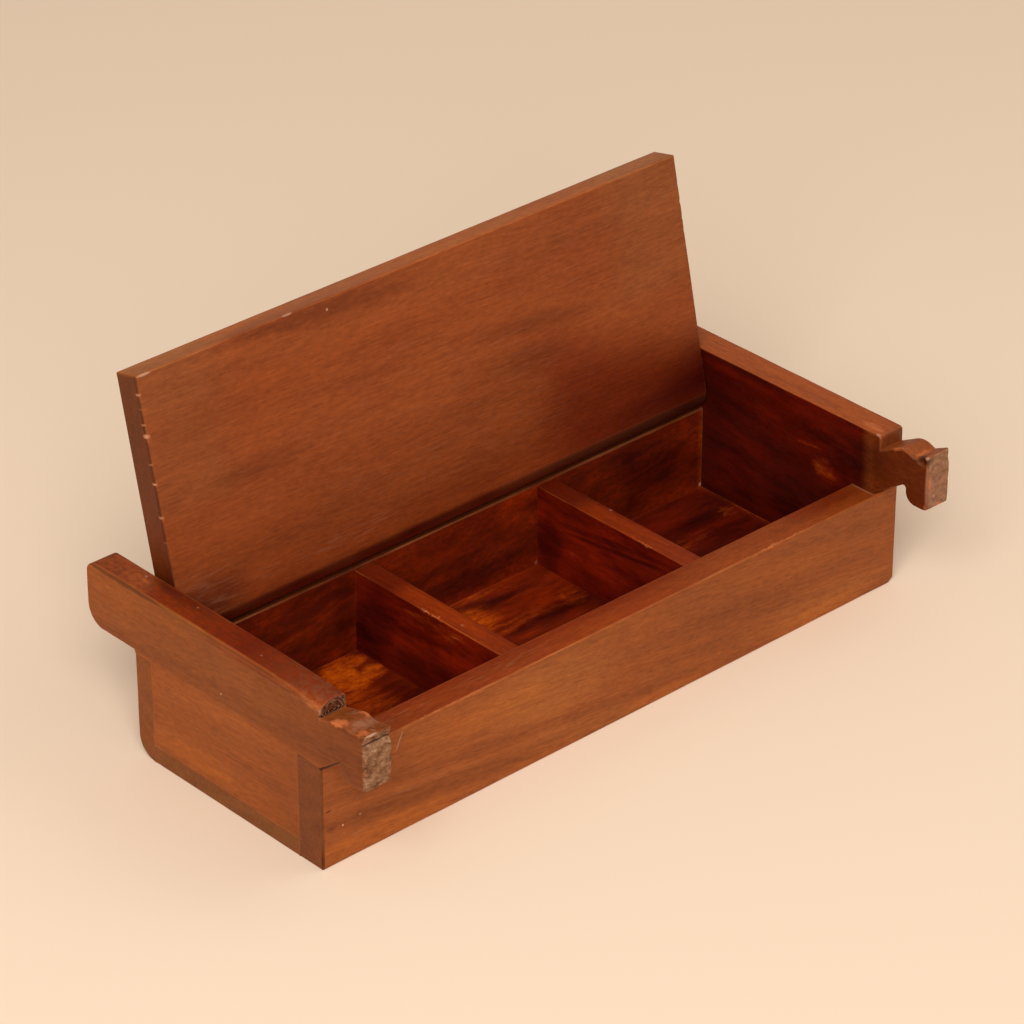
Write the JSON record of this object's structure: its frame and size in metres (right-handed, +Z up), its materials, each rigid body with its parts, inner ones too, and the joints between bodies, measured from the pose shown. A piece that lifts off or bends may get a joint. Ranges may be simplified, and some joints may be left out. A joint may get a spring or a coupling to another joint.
{
  "type": "desk organizer with lift lid",
  "caption": "Long low hardwood desk organizer: open bays split by dividers, thick end rails with carved hooked noses, and a flat lid that lifts and leans back on its heel.",
  "frame": {"origin": "centre of the whole object's footprint, on the surface it stands on, with the lid open", "axes": "+X along the box towards the right end, +Y from the front board towards the lid's hinge, +Z up"},
  "size_m": [0.3, 0.1604, 0.152],
  "materials": {
    "end_wood": "satin wax",
    "case_wood": "satin wax",
    "divider_wood": "satin wax",
    "lid_wood": "satin wax",
    "pin_wood": "bare"
  },
  "bodies": {
    "case": {"left_end_board": "end_wood", "right_end_board": "end_wood", "front_board": "case_wood", "back_board": "case_wood", "bottom_board": "case_wood", "left_divider": "divider_wood", "right_divider": "divider_wood"},
    "lid": {"lid": "lid_wood", "left_pivot_pin": "pin_wood", "right_pivot_pin": "pin_wood"}
  },
  "joints": [
    {"name": "lid_hinge", "type": "hinge", "parent": "case", "child": "lid", "pos_m": [0, 0.0457, 0.0507], "axis": [1, 0, 0], "range_deg": [0, 102.4]}
  ]
}
